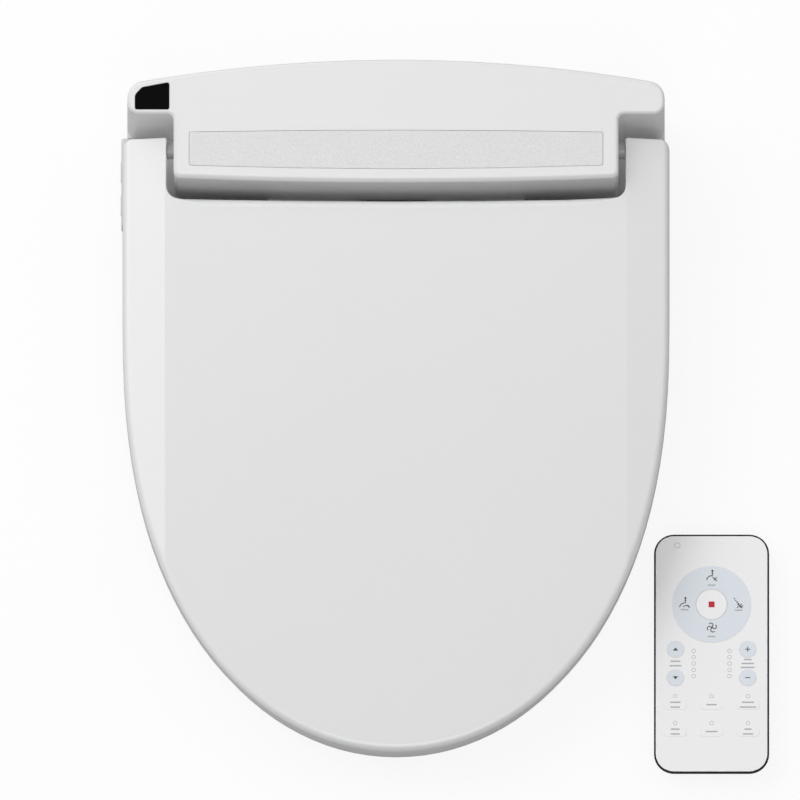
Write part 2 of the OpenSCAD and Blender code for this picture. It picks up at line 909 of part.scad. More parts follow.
module pinion(side) {
    nozzle_frame()
        translate([side * nozzle_pitch / 2, pinion_at, rack_pitch_v + pinion_r]) {
            along_x(-pinion_w / 2, pinion_w / 2)
                polygon([for (i = [0:pinion_teeth - 1]) each tooth_points(-90 + i * 360 / pinion_teeth)]);
            rotate([0, side * 90, 0])
                cylinder(d = pinion_shaft_d, h = cradle_half - nozzle_pitch / 2 + 6);
        }
}

module rear_pinion() color("ivory") pinion(-1);
module front_pinion() color("ivory") pinion(1);

module nozzle_motors() color("silver") {
    nozzle_frame()
        for (side = [-1, 1])
            difference() {
                translate([side * cradle_half, pinion_at, rack_pitch_v + pinion_r])
                    rotate([0, side * 90, 0])
                        cylinder(d = motor_d, h = motor_l);
                translate([side * (cradle_half - 1), pinion_at, rack_pitch_v + pinion_r])
                    rotate([0, side * 90, 0])
                        cylinder(d = pinion_shaft_d + 2 * run_gap, h = 8);
            }
}

module nozzle_cradle() color("gainsboro") {
    cheek_t = 2.3;
    nozzle_frame()
        difference() {
            union() {
                translate([-cradle_half, guide_from, cradle_low])
                    cube([2 * cradle_half, cradle_to - guide_from, cradle_high - cradle_low]);
                translate([-cradle_half, guide_from, cradle_low])
                    cube([2 * cradle_half, guide_to - guide_from, guide_high - cradle_low]);
                // Cheeks that carry the two motors
                for (side = [-1, 1])
                    translate([side * (cradle_half - cheek_t / 2) - cheek_t / 2, pinion_at - 4, cradle_low])
                        cube([cheek_t, 12, rack_pitch_v + pinion_r + 8 - cradle_low]);
            }
            for (side = [-1, 1])
                translate([side * nozzle_pitch / 2, 0, 0]) {
                    rotate([-90, 0, 0])
                        cylinder(d = nozzle_d + 2 * fit_gap, h = cradle_to + 1);
                    translate([-nozzle_d / 2 - fit_gap, guide_to, 0])
                        cube([nozzle_d + 2 * fit_gap, cradle_to, nozzle_d]);
                    translate([-rack_w / 2 - fit_gap, 0, 0])
                        cube([rack_w + 2 * fit_gap, cradle_to, rack_pitch_v + tooth_top + fit_gap]);
                    translate([0, pinion_at, rack_pitch_v + pinion_r])
                        rotate([0, side * 90, 0])
                            cylinder(d = pinion_shaft_d + 2 * fit_gap, h = 30);
                }
        }
}

// ---- Dryer ----

blower_y = 14;
blower_z = bay_floor + blower_d / 2;
blower_wall = 2;
blower_x = flap_x - flap_w / 2 + blower_wall;
blower_end = blower_x + blower_w;
impeller_d = blower_d - 2 * blower_wall - 6;
blower_shaft_d = 4;

module at_blower(x) {
    translate([x, blower_y, blower_z])
        rotate([0, 90, 0])
            children();
}

module blower_housing() color("dimgray") {
    difference() {
        union() {
            at_blower(blower_x)
                cylinder(d = blower_d, h = blower_w);
            translate([blower_x, lip_y + case_wall + fit_gap, bay_floor])
                cube([flap_w - 2 * blower_wall, blower_y - lip_y - case_wall, duct_h]);
        }
        at_blower(blower_x + blower_wall)
            cylinder(d = blower_d - 2 * blower_wall, h = blower_w - 2 * blower_wall);
        translate([blower_x + blower_wall, lip_y, bay_floor + blower_wall])
            cube([flap_w - 4 * blower_wall, blower_y - lip_y, duct_h - 2 * blower_wall]);
        at_blower(blower_x - 1)
            cylinder(d = impeller_d - 12, h = blower_wall + 2);
        at_blower(blower_end - blower_wall - 1)
            cylinder(d = blower_shaft_d + 2, h = blower_wall + 2);
    }
}

blower_motor_d = 26;
blower_motor_l = 18;
module blower_motor() color("silver") {
    at_blower(blower_end)
        cylinder(d = blower_motor_d, h = blower_motor_l);
    at_blower(blower_x + 8)
        cylinder(d = blower_shaft_d, h = blower_w - 7);
}

module impeller() color("gray") {
    from = blower_x + blower_wall + 1.5;
    to = blower_end - blower_wall - 1.5;
    at_blower(from)
        difference() {
            union() {
                translate([0, 0, to - from - 2])
                    cylinder(d = impeller_d, h = 2);
                difference() {
                    cylinder(d = impeller_d, h = 2);
                    translate([0, 0, -1])
                        cylinder(d = impeller_d - 10, h = 4);
                }
                translate([0, 0, 6])
                    cylinder(d = blower_shaft_d + 5, h = to - from - 7);
                for (i = [0:blades - 1])
                    rotate([0, 0, i * 360 / blades])
                        translate([impeller_d / 2 - 4.9, -0.5, 1])
                            cube([4.6, 1, to - from - 2]);
            }
            cylinder(d = blower_shaft_d + 2 * run_gap, h = 2 * blower_w);
        }
}

module dryer_flap() color("gainsboro") {
    translate([flap_x - flap_w / 2 + 0.5, flap_y - 0.7, flap_z - flap_h])
        cube([flap_w - 1, 1.4, flap_h + 1.5]);
    along_x(flap_x - flap_w / 2 + 0.5, flap_x + flap_w / 2 - 0.5)
        translate([flap_y, flap_z + 1.5])
            circle(d = 3);
    along_x(flap_x - flap_w / 2 - 2.5, flap_x + flap_w / 2 + 2.5)
        translate([flap_y, flap_z + 1.5])
            circle(d = flap_pin_d);
}

// ---- Water ----

valve_x = [-175, -153];
valve_y = [21, 36];
valve_z = [inlet_top + 6.5, 56];
tank_x = [-128, -52];
tank_y = [-10, 39];
tank_z = [bay_floor, 62];
tank_wall = 2.5;
flow_x = -37;
flow_y = 22;
flow_d = 22;
flow_top = 42;
hose_d = 6;
hose_bend = 8;
// Heights and depths of the hoses that enter and leave the tank
inlet_hose = [24.4, 46];
flow_hose = [flow_y, 30];
flow_spigot = flow_x - flow_d / 2 - 2;
nozzle_hose_z = 57;

module inlet_fitting() color("silver") {
    translate([inlet_x, inlet_y, 0])
        difference() {
            union() {
                translate([0, 0, 4])
                    cylinder(d = 20.8, h = 15);
                translate([0, 0, 18])
                    cylinder(d = 27, h = inlet_top - 18, $fn = 6);
                translate([0, 0, inlet_top - 1])
                    cylinder(d = inlet_tube_d, h = valve_z[0] - inlet_top + 1);
            }
            cylinder(d = 9, h = split_z);
        }
}

module inlet_valve() color("dimgray") {
    difference() {
        translate([valve_x[0], valve_y[0], valve_z[0]])
            cube([valve_x[1] - valve_x[0], valve_y[1] - valve_y[0], valve_z[1] - valve_z[0]]);
        translate([inlet_x, inlet_y, valve_z[0] - 1])
            cylinder(d = 6, h = 10);
    }
    translate([inlet_x, (valve_y[0] + valve_y[1]) / 2, valve_z[1]])
        cylinder(d = 14, h = 24);
}

module heater_tank() color("lightsteelblue") {
    difference() {
        translate([(tank_x[0] + tank_x[1]) / 2, (tank_y[0] + tank_y[1]) / 2, tank_z[0]])
            linear_extrude(tank_z[1] - tank_z[0])
                round_rect(tank_x[1] - tank_x[0], tank_y[1] - tank_y[0], 7);
        translate([(tank_x[0] + tank_x[1]) / 2, (tank_y[0] + tank_y[1]) / 2, tank_z[0] + tank_wall])
            linear_extrude(tank_z[1] - tank_z[0] - 2 * tank_wall)
                round_rect(tank_x[1] - tank_x[0] - 2 * tank_wall, tank_y[1] - tank_y[0] - 2 * tank_wall,
                    7 - tank_wall);
        translate([tank_x[0] - 1, inlet_hose[0], inlet_hose[1]])
            rotate([0, 90, 0])
                cylinder(d = 4, h = tank_wall + 2);
        translate([tank_x[1] - tank_wall - 1, flow_hose[0], flow_hose[1]])
            rotate([0, 90, 0])
                cylinder(d = 4, h = tank_wall + 2);
    }
}

// A straight run of hose from x0 to x1, at at = [y, z]
module hose_run(x0, x1, at) {
    translate([x0, at[0], at[1]])
        rotate([0, 90, 0])
            cylinder(d = hose_d, h = x1 - x0);
}

module flow_valve() color("ivory") {
    translate([flow_x, flow_y, bay_floor]) {
        cylinder(d = flow_d, h = flow_top - bay_floor - 4);
        cylinder(d = 12, h = flow_top - bay_floor);
    }
    hose_run(flow_spigot, flow_x, flow_hose);
}

module water_hoses() color("lightgray") {
    hose_run(valve_x[1], tank_x[0], inlet_hose);
    hose_run(tank_x[1], flow_spigot, flow_hose);
    // Up from the flow valve and round into the nozzles' cradle
    translate([flow_x, flow_y, flow_top])
        cylinder(d = hose_d, h = nozzle_hose_z - hose_bend - flow_top);
    translate([flow_x + hose_bend, flow_y, nozzle_hose_z - hose_bend])
        rotate([90, 0, 0])
            rotate([0, 0, 90])
                rotate_extrude(angle = 90)
                    translate([hose_bend, 0])
                        circle(d = hose_d);
    hose_run(flow_x + hose_bend, -cradle_half, [flow_y, nozzle_hose_z]);
}

// ---- Electrics ----

board_x = 58;
board_y = 41.5;
board_w = 74;
board_h = 44;
relay = [20, 14, 18];
transformer = [22, 18, 14];
capacitor_d = 6;
capacitor_l = 9;
module main_board() color("darkgreen") {
    translate([board_x, board_y, bay_floor])
        cube([board_w, 1.6, board_h]);
    // Relay, transformer and two capacitors on its front
    translate([board_x + board_w - 2 - relay[0], board_y - relay[1], bay_floor + 4])
        cube(relay);
    translate([board_x + board_w - 1 - transformer[0], board_y - transformer[1], bay_floor + 26])
        cube(transformer);
    for (i = [0, 1])
        translate([blower_end + 4 + i * (capacitor_d + 2), board_y, bay_floor + board_h - 4])
            rotate([90, 0, 0])
                cylinder(d = capacitor_d, h = capacitor_l);
}

module cord_gland() color("dimgray") {
    translate([gland_x, gland_y, gland_z])
        rotate([-90, 0, 0])
            difference() {
                union() {
                    cylinder(d = gland_flange_d, h = 3);
                    translate([0, 0, -12])
                        cylinder(d = gland_d, h = 13);
                }
                translate([0, 0, -13])
                    cylinder(d = 7.2, h = 30);
            }
}

// ---- Remote control ----

remote_x = 222;
remote_y = -350.5;
face_t = 2.1;
face_z = remote_t - face_t;
key_top = remote_t + 0.2;
key_h = 2.4;
key_z = key_top - key_h;
board_t = 1.2;
board_z = face_z - 0.9 - board_t;
case_floor = 1.8;
cell_d = 10.5;
cell_l = 44.5;
cell_end = 8.25;
cell_y = -remote_l / 2 + cell_end + cell_l / 2;
ring_y = 0.2064 * remote_l;
round_key_x = 0.3136 * remote_w;
round_key_ys = [0.0185 * remote_l, -0.1006 * remote_l];
light_x = 0.1556 * remote_w;
light_pitch = 0.0266 * remote_l;
light_ys = [for (i = [0:4]) 0.0121 * remote_l - i * light_pitch];
pad_x = 0.316 * remote_w;
pad_ys = [-0.2139 * remote_l, -0.3266 * remote_l];
pad_light_gap = 6.2;
light_d = 2.4;
top_light = [-24, remote_l / 2 - 8];

module at_remote() {
    translate([remote_x, remote_y, 0])
        children();
}

module remote_outline(d) {
    round_rect(remote_w - 2 * d, remote_l - 2 * d, remote_r - d);
}

door_half = cell_d + 4;
door_end = cell_y + cell_l / 2 + 6;
taper = 3.5;
taper_h = 14;
taper_top = 0.1;
cavity_inset = taper + 1.5;

// The lower part of the case: its sides lean in towards the bottom by the taper
module tapered_sides() {
    for (x = [remote_r - remote_w / 2, remote_w / 2 - remote_r], y = [remote_r - remote_l / 2, remote_l / 2 - remote_r])
        translate([x, y, 0])
            cylinder(r1 = remote_r - taper, r2 = remote_r - taper_top, h = taper_h);
    for (size = [[remote_w, remote_l, 0], [remote_l, remote_w, 90]])
        rotate([0, 0, size[2]])
            along_x(remote_r - size[0] / 2, size[0] / 2 - remote_r)
                polygon([[taper - size[1] / 2, 0], [size[1] / 2 - taper, 0], [size[1] / 2 - taper_top, taper_h],
                    [taper_top - size[1] / 2, taper_h]]);
}

module remote_case() color([0.06, 0.06, 0.06]) at_remote() {
    difference() {
        union() {
            tapered_sides();
            translate([0, 0, taper_h])
                linear_extrude(remote_t - 0.5 - taper_h)
                    remote_outline(0);
        }
        translate([0, 0, board_z])
            linear_extrude(remote_t)
                remote_outline(remote_edge);
        difference() {
            translate([0, 0, case_floor])
                linear_extrude(remote_t)
                    remote_outline(cavity_inset);
            // Walls that hold the cells' contacts
            for (end = [-1, 1])
                translate([-door_half - 3, cell_y + end * (cell_l / 2 + 2.1) - 0.9, 0])
                    cube([2 * (door_half + 3), 1.8, board_z]);
        }
        translate([-door_half, -remote_l, -1])
            cube([2 * door_half, remote_l + door_end, case_floor + 1]);
    }
}

module at_keys() {
    translate([0, ring_y])
        children();
}

// Outlines of the remote's keys, made larger by grow
module sector(angle, grow) {
    gap = 0.06 - grow;
    at_keys()
        intersection() {
            difference() {
                circle(d = ring_d + 2 * grow, $fn = 96);
                circle(d = stop_d + 2 * key_gap + 0.4 - 2 * grow);
            }
            rotate(angle)
                polygon([[0, 1.415 * gap], [ring_d, ring_d + 1.415 * gap], [-ring_d, ring_d + 1.415 * gap]]);
        }
}

module lights_outline(grow) {
    for (side = [-1, 1], y = light_ys)
        translate([side * light_x, y])
            circle(d = light_d + 2 * grow);
    for (x = [-pad_x, 0, pad_x], y = pad_ys)
        translate([x, y + pad_light_gap])
            circle(d = light_d + 2 * grow);
    translate(top_light)
        circle(d = light_d + 1 + 2 * grow);
}

module remote_front() color("white") at_remote() {
    difference() {
        translate([0, 0, face_z])
            linear_extrude(face_t)
                remote_outline(remote_edge + 0.1);
        translate([0, 0, face_z - 1])
            linear_extrude(face_t + 2) {
                at_keys()
                    circle(d = ring_d + 2 * key_gap, $fn = 96);
                for (side = [-1, 1], y = round_key_ys)
                    translate([side * round_key_x, y])
                        circle(d = round_key_d + 2 * key_gap);
                for (x = [-pad_x, 0, pad_x], y = pad_ys)
                    translate([x, y])
                        round_rect(pad_w + 2 * key_gap, pad_l + 2 * key_gap, 3);
                lights_outline(key_gap / 2);
            }
    }
}

module remote_board() color("darkgreen") at_remote() {
    translate([0, 0, board_z])
        linear_extrude(board_t)
            remote_outline(remote_edge + 0.3);
}

module remote_cells() color("steelblue") at_remote() {
    for (side = [-1, 1])
        translate([side * (cell_d / 2 + 0.4), cell_y + side * cell_l / 2, case_floor + cell_d / 2 + 0.1])
            rotate([side * 90, 0, 0]) {
                cylinder(d = cell_d, h = cell_l - 1);
                cylinder(d = 3.8, h = cell_l);
            }
}

module cell_contacts() color("silver") at_remote() {
    for (end = [-1, 1])
        translate([-cell_d, cell_y + end * (cell_l / 2 + 0.7) - 0.5, case_floor + 1])
            cube([2 * cell_d, 1, 8]);
}

module battery_door() color([0.06, 0.06, 0.06]) at_remote() {
    linear_extrude(case_floor - fit_gap)
        intersection() {
            remote_outline(taper);
            translate([-door_half + fit_gap, -remote_l])
                square([2 * (door_half - fit_gap), remote_l + door_end - fit_gap]);
        }
}

module indicator_lights() color("lightgray") at_remote() {
    translate([0, 0, face_z])
        linear_extrude(face_t)
            lights_outline(0);
}

module key_body() {
    at_remote()
        translate([0, 0, key_z])
            linear_extrude(key_h)
                children();
}

module stop_key() color("white") key_body() at_keys() circle(d = stop_d);
module ring_key_top() color("lightsteelblue") key_body() sector(0, 0);
module ring_key_left() color("lightsteelblue") key_body() sector(90, 0);
module ring_key_bottom() color("lightsteelblue") key_body() sector(180, 0);
module ring_key_right() color("lightsteelblue") key_body() sector(270, 0);

module round_key(side, y) color("lightsteelblue")
    key_body()
        translate([side * round_key_x, y])
            circle(d = round_key_d);

module round_key_up() round_key(-1, round_key_ys[0]);
module round_key_down() round_key(-1, round_key_ys[1]);
module round_key_plus() round_key(1, round_key_ys[0]);
module round_key_minus() round_key(1, round_key_ys[1]);

module pad(column, row) color("white")
    key_body()
        translate([column * pad_x, pad_ys[row]])
            round_rect(pad_w, pad_l, 3);

module pad_1() pad(-1, 0);
module pad_2() pad(0, 0);
module pad_3() pad(1, 0);
module pad_4() pad(-1, 1);
module pad_5() pad(0, 1);
module pad_6() pad(1, 1);

mounting_plate();
bolt_bushings();
base_case();
base_feet();
case_screws();
top_case();
trim_plate();
receiver_window();
side_panel();
side_button_front();
side_button_rear();
release_button();
lid_shaft();
seat_shaft();
hinge_dampers();
inlet_fitting();
inlet_valve();
heater_tank();
flow_valve();
water_hoses();
nozzle_cradle();
rear_nozzle();
front_nozzle();
nozzle_motors();
rear_pinion();
front_pinion();
blower_housing();
blower_motor();
impeller();
dryer_flap();
main_board();
cord_gland();
seat_top();
seat_bottom();
seat_heater();
seat_bumpers();
lid_shell();
lid_bumpers();
remote_case();
remote_front();
remote_board();
remote_cells();
cell_contacts();
battery_door();
indicator_lights();
stop_key();
ring_key_top();
ring_key_left();
ring_key_right();
ring_key_bottom();
round_key_up();
round_key_down();
round_key_plus();
round_key_minus();
pad_1();
pad_2();
pad_3();
pad_4();
pad_5();
pad_6();
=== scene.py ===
import json
import math

import bmesh
import bpy
from mathutils import Matrix, Vector


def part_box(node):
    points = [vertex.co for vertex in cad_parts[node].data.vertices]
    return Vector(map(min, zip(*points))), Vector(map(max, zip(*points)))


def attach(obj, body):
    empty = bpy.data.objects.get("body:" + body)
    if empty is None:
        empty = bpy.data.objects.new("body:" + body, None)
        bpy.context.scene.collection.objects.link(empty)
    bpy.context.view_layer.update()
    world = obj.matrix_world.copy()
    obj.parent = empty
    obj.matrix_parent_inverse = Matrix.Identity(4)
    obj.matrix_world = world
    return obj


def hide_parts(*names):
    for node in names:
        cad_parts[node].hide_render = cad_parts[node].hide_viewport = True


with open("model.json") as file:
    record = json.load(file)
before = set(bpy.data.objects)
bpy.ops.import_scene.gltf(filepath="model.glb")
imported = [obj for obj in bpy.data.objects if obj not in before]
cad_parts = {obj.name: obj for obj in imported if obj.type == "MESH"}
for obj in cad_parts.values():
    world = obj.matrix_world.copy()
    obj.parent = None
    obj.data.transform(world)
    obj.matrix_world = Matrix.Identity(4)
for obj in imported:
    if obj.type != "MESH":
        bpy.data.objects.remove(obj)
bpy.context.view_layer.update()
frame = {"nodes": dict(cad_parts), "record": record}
scene = bpy.context.scene
scene.view_settings.view_transform = "Standard"

# ---- Studio ----
# The seat lies flat on a pale floor. A parallel camera looks steeply down on it from the front, and
# five broad soft lamps hang over it, with the strongest in front and the next on the left.

aim = Vector((0.0028, -0.1723, 0.04))
elevation = math.radians(76)
camera_away = 6
view_width = 0.5628
floor_below = 0.0005
floor_reach = 6
camera_data = bpy.data.cameras.new("camera")
camera_data.type = "ORTHO"
camera_data.ortho_scale = view_width
camera_data.clip_end = 20
camera = bpy.data.objects.new("camera", camera_data)
camera.location = aim + camera_away * Vector((0, -math.cos(elevation), math.sin(elevation)))
camera.rotation_euler = (math.pi / 2 - elevation, 0, 0)
scene.collection.objects.link(camera)
scene.camera = camera


def softbox(name, place, width, height, power):
    """A rectangular lamp that faces the seat."""
    light = bpy.data.lights.new(name, "AREA")
    light.shape = "RECTANGLE"
    light.size, light.size_y, light.energy = width, height, power
    lamp = bpy.data.objects.new(name, light)
    lamp.location = place
    lamp.rotation_euler = (aim - Vector(place)).to_track_quat("-Z", "Y").to_euler()
    scene.collection.objects.link(lamp)


softbox("softbox_key", (-1.4, 0.9, 1.8), 2.2, 2.2, 20)
softbox("softbox_left", (-3.2, 0.6, 4.0), 2.4, 2.4, 39)
softbox("softbox_right", (3.2, 0.6, 4.0), 2.4, 2.4, 25)
softbox("softbox_front", (0.1, -2.4, 4.0), 2.4, 2.4, 55)
softbox("softbox_rear", (0.0, 1.0, 1.2), 2.4, 1.0, 5.0)

# The camera sees a white world, which lights the seat at a quarter of that strength
world = bpy.data.worlds.new("studio")
world.use_nodes = True
scene.world = world
nodes, links = world.node_tree.nodes, world.node_tree.links
backdrop = nodes["Background"]
backdrop.inputs["Color"].default_value = (1, 1, 1, 1)
backdrop.inputs["Strength"].default_value = 0.25
seen = nodes.new("ShaderNodeBackground")
seen.inputs["Strength"].default_value = 1
path = nodes.new("ShaderNodeLightPath")
either = nodes.new("ShaderNodeMixShader")
links.new(path.outputs["Is Camera Ray"], either.inputs["Fac"])
links.new(backdrop.outputs["Background"], either.inputs[1])
links.new(seen.outputs["Background"], either.inputs[2])
links.new(either.outputs["Shader"], nodes["World Output"].inputs["Surface"])

floor_mesh = bpy.data.meshes.new("floor")
bm = bmesh.new()
bmesh.ops.create_grid(bm, x_segments=1, y_segments=1, size=floor_reach)
bm.to_mesh(floor_mesh)
bm.free()
floor = bpy.data.objects.new("floor", floor_mesh)
floor_mesh.transform(Matrix.Translation((0, 0, -floor_below)))
scene.collection.objects.link(floor)
# The paper glows for the camera, with a share left to take shadows, and is matt for all else
paper = bpy.data.materials.new("floor_paper")
paper.use_nodes = True
nodes, links = paper.node_tree.nodes, paper.node_tree.links
matt = nodes["Principled BSDF"]
matt.inputs["Base Color"].default_value = (0.5, 0.5, 0.5, 1)
matt.inputs["Roughness"].default_value = 0.9
shadowed = nodes.new("ShaderNodeBsdfDiffuse")
shadowed.inputs["Color"].default_value = (0.95, 0.95, 0.95, 1)
glow = nodes.new("ShaderNodeEmission")
pale = nodes.new("ShaderNodeMixShader")
pale.inputs["Fac"].default_value = 0.88
path = nodes.new("ShaderNodeLightPath")
shown = nodes.new("ShaderNodeMath")
shown.operation = "MAXIMUM"
either = nodes.new("ShaderNodeMixShader")
links.new(shadowed.outputs["BSDF"], pale.inputs[1])
links.new(glow.outputs["Emission"], pale.inputs[2])
links.new(path.outputs["Is Camera Ray"], shown.inputs[0])
links.new(path.outputs["Is Transmission Ray"], shown.inputs[1])
links.new(shown.outputs["Value"], either.inputs["Fac"])
links.new(matt.outputs["BSDF"], either.inputs[1])
links.new(pale.outputs["Shader"], either.inputs[2])
links.new(either.outputs["Shader"], nodes["Material Output"].inputs["Surface"])
floor_mesh.materials.append(paper)

# ---- Mounting plate ----
# A flat plate of glass-filled plastic that stays on the bowl. Two bolts hold it down through
# sliding bushings, and the seat pushes onto it from the front until it snaps in.


def group_of(name, inputs, outputs):
    """An empty shader node group with its ends in place."""
    group = bpy.data.node_groups.new(name, "ShaderNodeTree")
    kinds = {"F": "NodeSocketFloat", "C": "NodeSocketColor", "V": "NodeSocketVector"}
    for title, kind, value in inputs:
        socket = group.interface.new_socket(title, in_out="INPUT", socket_type=kinds[kind])
        socket.default_value = value
    for title, kind in outputs:
        group.interface.new_socket(title, in_out="OUTPUT", socket_type=kinds[kind])
    start, end = group.nodes.new("NodeGroupInput"), group.nodes.new("NodeGroupOutput")
    return group, start, end


def noise(tree, scale, detail, source):
    """A noise texture in the space of source. Its scale is a number or another node's socket."""
    texture = tree.nodes.new("ShaderNodeTexNoise")
    if isinstance(scale, bpy.types.NodeSocket):
        tree.links.new(scale, texture.inputs["Scale"])
    else:
        texture.inputs["Scale"].default_value = scale
    texture.inputs["Detail"].default_value = detail
    tree.links.new(source, texture.inputs["Vector"])
    return texture.outputs["Fac"]


def spread(tree, value, low, high, to_low=0.0, to_high=1.0):
    """Maps the part of value from low to high onto another range, and holds it there."""
    node = tree.nodes.new("ShaderNodeMapRange")
    ends = {"From Min": low, "From Max": high, "To Min": to_low, "To Max": to_high}
    for title, number in ends.items():
        node.inputs[title].default_value = number
    tree.links.new(value, node.inputs["Value"])
    return node.outputs["Result"]


# What every finish of this object takes in and gives out
finish_inputs = [("Colour", "C", (0.8, 0.8, 0.8, 1)), ("Roughness", "F", 0.3), ("Drift", "F", 0.02),
                 ("Grain", "F", 900.0), ("Depth", "F", 0.05)]
finish_outputs = [("Colour", "C"), ("Roughness", "F"), ("Normal", "V")]


def wire(tree, start, end, tone, gloss, height, depth):
    """Wires up a finish: tone shades its colour by its drift, gloss scales its roughness, or the
    shade does where gloss is None, and height lifts its surface by up to depth."""
    shade = tree.nodes.new("ShaderNodeMath")
    shade.operation = "MULTIPLY_ADD"
    shade.inputs[2].default_value = 1.0
    tree.links.new(tone, shade.inputs[0])
    tree.links.new(start.outputs["Drift"], shade.inputs[1])
    tint = tree.nodes.new("ShaderNodeVectorMath")
    tint.operation = "SCALE"
    tree.links.new(start.outputs["Colour"], tint.inputs[0])
    tree.links.new(shade.outputs["Value"], tint.inputs["Scale"])
    tree.links.new(tint.outputs["Vector"], end.inputs["Colour"])
    rough = tree.nodes.new("ShaderNodeMath")
    rough.operation = "MULTIPLY"
    tree.links.new(start.outputs["Roughness"], rough.inputs[0])
    tree.links.new(gloss or shade.outputs["Value"], rough.inputs[1])
    tree.links.new(rough.outputs["Value"], end.inputs["Roughness"])
    bump = tree.nodes.new("ShaderNodeBump")
    bump.inputs["Distance"].default_value = depth
    tree.links.new(start.outputs["Depth"], bump.inputs["Strength"])
    tree.links.new(height, bump.inputs["Height"])
    tree.links.new(bump.outputs["Normal"], end.inputs["Normal"])


# Moulded skin: a slow drift of tone, a fine texture from the mould and faint rub marks
skin, start, end = group_of("moulded_skin", finish_inputs, finish_outputs)
place = skin.nodes.new("ShaderNodeTexCoord").outputs["Object"]
slow = spread(skin, noise(skin, 9.0, 2.0, place), 0.3, 0.7, -1.0, 1.0)
rub = spread(skin, noise(skin, 60.0, 5.0, place), 0.3, 0.7, 0.96, 1.04)
grain = noise(skin, start.outputs["Grain"], 2.0, place)
wire(skin, start, end, slow, rub, grain, 0.0002)


def moulded(name, colour, roughness, drift=0.01, grain=900.0, depth=0.04, group=None,
            **constants):
    """A plastic, rubber or metal finish whose small variations come from a shared group. The
    constants are the shader's own inputs, such as Metallic."""
    material = bpy.data.materials.new(name)
    material.use_nodes = True
    tree = material.node_tree
    shader = tree.nodes["Principled BSDF"]
    effect = tree.nodes.new("ShaderNodeGroup")
    effect.node_tree = group or skin
    values = {"Colour": (*colour, 1), "Roughness": roughness, "Drift": drift, "Grain": grain,
              "Depth": depth}
    for title, value in values.items():
        effect.inputs[title].default_value = value
    ends = {"Colour": "Base Color", "Roughness": "Roughness", "Normal": "Normal"}
    for title, socket in ends.items():
        tree.links.new(effect.outputs[title], shader.inputs[socket])
    for title, value in constants.items():
        shader.inputs[title.replace("_", " ").title().replace("Ior", "IOR")].default_value = value
    return material


def finish(node, material):
    """Gives a solid its material."""
    mesh = frame["nodes"][node].data
    mesh.materials.clear()
    mesh.materials.append(material)


def body_of(node):
    """The body that a node belongs to."""
    bodies = frame["record"]["behaviour"]["bodies"]
    return next(body for body, names in bodies.items() if node in names)


# Points this near to each other are one point, in metres
same_point = 0.000002


def merged(node, cuts=()):
    """A solid's mesh as whole faces, not triangles. It is cut at some x, so that no face has a
    hole."""
    bm = bmesh.new()
    bm.from_mesh(frame["nodes"][node].data)
    bmesh.ops.remove_doubles(bm, verts=bm.verts[:], dist=same_point)
    for x in cuts:
        bmesh.ops.bisect_plane(bm, geom=bm.verts[:] + bm.edges[:] + bm.faces[:],
                               dist=same_point / 2, plane_co=(x, 0, 0), plane_no=(1, 0, 0))
    kept = {edge for edge in bm.edges for x in cuts
            if all(abs(vert.co.x - x) < same_point for vert in edge.verts)}
    bmesh.ops.dissolve_limit(bm, angle_limit=math.radians(0.3), verts=bm.verts[:],
                             edges=[edge for edge in bm.edges if edge not in kept],
                             use_dissolve_boundaries=False)
    return bm


# Hardly any two points of a piece are level along this slanted line
slant = Vector((1, math.pi, math.e))


def put_in_order(bm):
    """Sorts points and faces, as spinning and extruding leave them in another order each time.
    Two faces may share a centre, but then they differ in size."""
    bm.verts.sort(key=lambda vert: vert.co.dot(slant))
    bm.faces.sort(key=lambda face: face.calc_center_median().dot(slant) + face.calc_perimeter())


def piece_from(bm, name, node, *materials):
    """A visible piece that moves with a node and has its slot."""
    mesh = bpy.data.meshes.new(name)
    bm.to_mesh(mesh)
    bm.free()
    for material in materials:
        mesh.materials.append(material)
    piece = bpy.data.objects.new(name, mesh)
    scene.collection.objects.link(piece)
    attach(piece, body_of(node))
    return piece


# Faces whose normal rises more than this look up
upward = 0.85


def folded(edge):
    """Whether an edge is a fold between two large upward faces of a panel."""
    return len(edge.link_faces) == 2 and all(face.normal.z > upward and face.calc_area() > 0.001
                                             for face in edge.link_faces)


def eased(node, materials, radius, steps=3, least=30, paint=None, cuts=()):
    """A copy of a solid with its outer corners rounded, where they turn by more than least degrees.
    radius is a function of an edge's middle and the edge, or a number for all edges but the
    shortest. Both are in mm, and so is the middle. It has to change slowly along smooth edges.
    paint gives a face's place in materials, from its centre in mm."""
    shortest = 0.0004
    crease, fold_crease = math.radians(28), math.radians(8)
    bm = merged(node, cuts)
    weight = bm.edges.layers.float.new("bevel_weight_edge")
    for edge in bm.edges:
        if len(edge.link_faces) == 2 and edge.calc_face_angle_signed(0) > math.radians(least):
            a, b = (v.co for v in edge.verts)
            if callable(radius):
                edge[weight] = radius((a + b) / 2 * 1000, edge)
            elif edge.calc_length() > shortest:
                edge[weight] = radius
    largest = max(edge[weight] for edge in bm.edges)
    for edge in bm.edges:
        edge[weight] /= largest
    if paint:
        for face in bm.faces:
            face.material_index = paint(face.calc_center_median() * 1000)
    for face in bm.faces:
        face.smooth = True
    for edge in bm.edges:
        sharp_from = fold_crease if folded(edge) else crease
        edge.smooth = edge.calc_face_angle(0) < sharp_from
    materials = materials if isinstance(materials, list) else [materials]
    piece = piece_from(bm, node + "_eased", node, *materials)
    rounding = piece.modifiers.new("rounding", "BEVEL")
    rounding.limit_method = "WEIGHT"
    rounding.width = largest / 1000
    rounding.segments = steps
    rounding.use_clamp_overlap = False
    rounding.loop_slide = False
    flat = piece.modifiers.new("flat_faces", "WEIGHTED_NORMAL")
    flat.keep_sharp = True
    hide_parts(node)
    return piece


